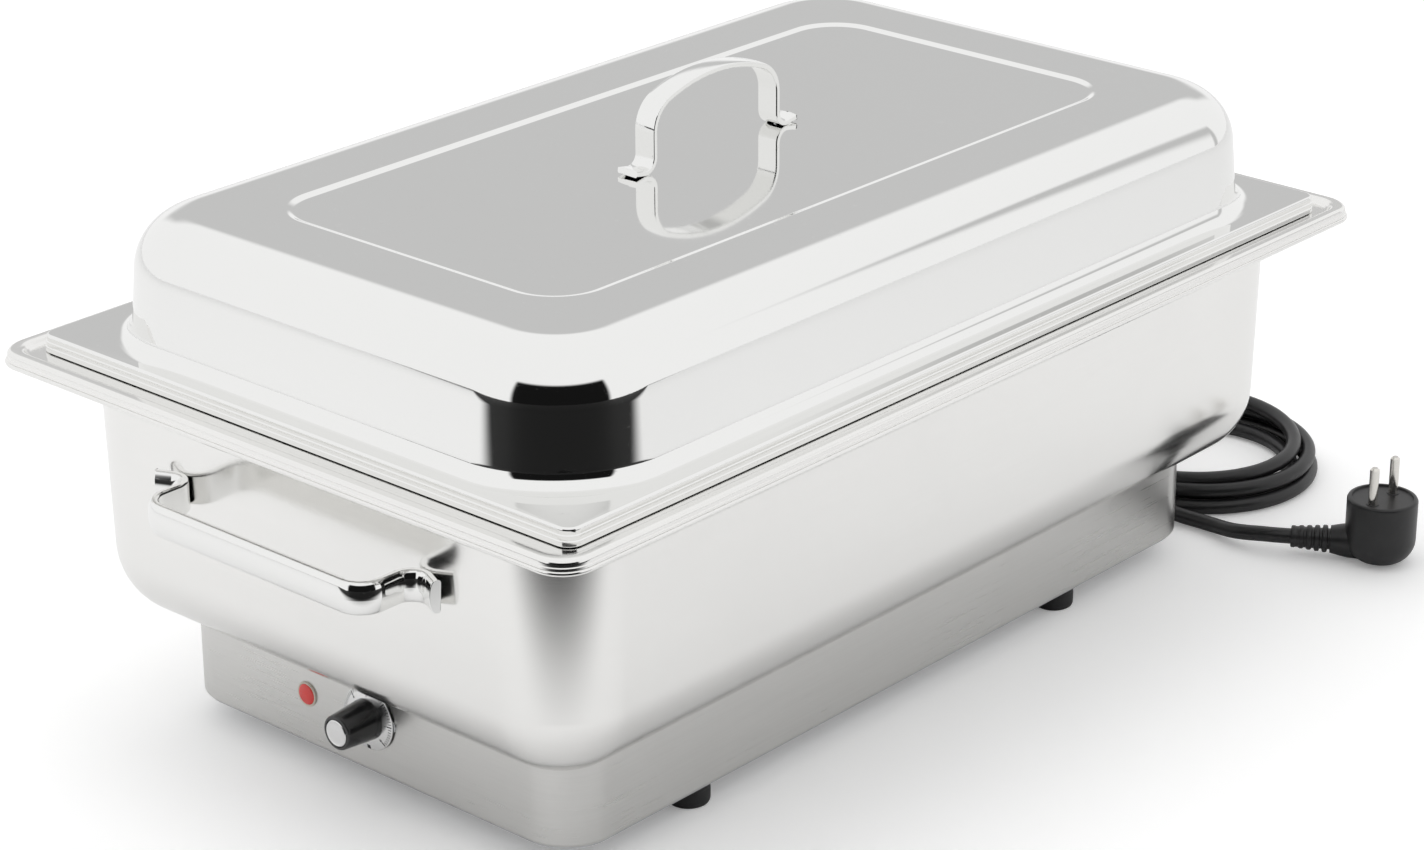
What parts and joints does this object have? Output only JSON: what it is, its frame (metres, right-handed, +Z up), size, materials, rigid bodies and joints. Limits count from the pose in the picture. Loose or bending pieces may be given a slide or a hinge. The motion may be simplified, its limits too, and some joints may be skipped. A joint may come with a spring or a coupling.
{
  "type": "electric buffet server",
  "caption": "Electric food warmer: oblong water tank with rim and end handles on a low heater housing, lift-off domed lid over a full-size food pan, control knob and mains lead.",
  "frame": {"origin": "on the floor, under the middle of the appliance without its mains lead", "axes": "+Z up, -Y towards the front with the knob and lamp, +X to the right-hand long side seen from the front"},
  "size_m": [0.4027, 0.6781, 0.2879],
  "materials": {
    "housing_steel": "satin",
    "zinc_sheet": "satin",
    "zinc_fastener": "bright zinc",
    "foot_rubber": "matte",
    "tank_steel": "polished",
    "heat_plate_aluminium": "mill finish",
    "heater_sheath": "heat-tinted",
    "glass_wool": "woven",
    "bakelite": "moulded",
    "copper": "drawn",
    "shaft_steel": "turned",
    "knob_black": "gloss",
    "dial_aluminium": "satin with printed marks",
    "lamp_red": "translucent",
    "lamp_ivory": "moulded",
    "terminal_white": "moulded",
    "brass": "turned",
    "wire_insulation": "extruded",
    "lead_rubber": "semi-gloss",
    "gland_black": "moulded",
    "plug_rubber": "semi-gloss moulded",
    "pin_nickel": "nickel plated",
    "clip_steel": "bright",
    "handle_chrome": "polished",
    "pan_steel": "satin",
    "lid_steel": "mirror polished"
  },
  "bodies": {
    "server": {"base_housing": "housing_steel", "bottom_plate": "zinc_sheet", "bottom_screws": "zinc_fastener", "feet": "foot_rubber", "foot_screws": "zinc_fastener", "foot_nuts": "zinc_fastener", "water_tank": "tank_steel", "tank_studs": "zinc_fastener", "tank_nuts": "zinc_fastener", "heat_plate": "heat_plate_aluminium", "heating_element": "heater_sheath", "heater_clamps": "zinc_sheet", "insulation_blanket": "glass_wool", "heat_shield": "zinc_sheet", "thermostat_body": "bakelite", "thermostat_screws": "zinc_fastener", "thermostat_bulb": "copper", "capillary": "copper", "bulb_clip": "zinc_sheet", "thermal_cutout": "bakelite", "lamp_lens": "lamp_red", "lamp_body": "lamp_ivory", "lamp_nut": "lamp_ivory", "terminal_block": "terminal_white", "terminal_screws": "brass", "earth_stud": "zinc_fastener", "earth_nut": "brass", "inner_wires": "wire_insulation", "inner_cable": "lead_rubber", "cord_gland": "gland_black", "cord_clamp": "gland_black", "mains_cord_exit": "lead_rubber", "cord_coil": "lead_rubber", "mains_cord_lead": "lead_rubber", "plug_body": "plug_rubber", "plug_pins": "pin_nickel", "plug_earth_clips": "clip_steel", "front_handle": "handle_chrome", "rear_handle": "handle_chrome"},
    "knob": {"thermostat_shaft": "shaft_steel", "control_knob": "knob_black", "knob_cap": "dial_aluminium", "dial_skirt": "dial_aluminium"},
    "food_pan": {"food_pan": "pan_steel"},
    "lid": {"lid_shell": "lid_steel", "lid_handle": "handle_chrome", "lid_handle_screws": "zinc_fastener", "lid_handle_washers": "zinc_fastener"}
  },
  "joints": [
    {"name": "knob_turn", "type": "hinge", "parent": "server", "child": "knob", "pos_m": [0.003, -0.231, 0.0395], "axis": [0, 1, 0], "range_deg": [0, 270]},
    {"name": "pan_lift", "type": "slide", "parent": "server", "child": "food_pan", "axis": [0, 0, 1], "range_m": [0, 0.12]},
    {"name": "lid_lift", "type": "slide", "parent": "food_pan", "child": "lid", "axis": [0, 0, 1], "range_m": [0, 0.15]}
  ]
}
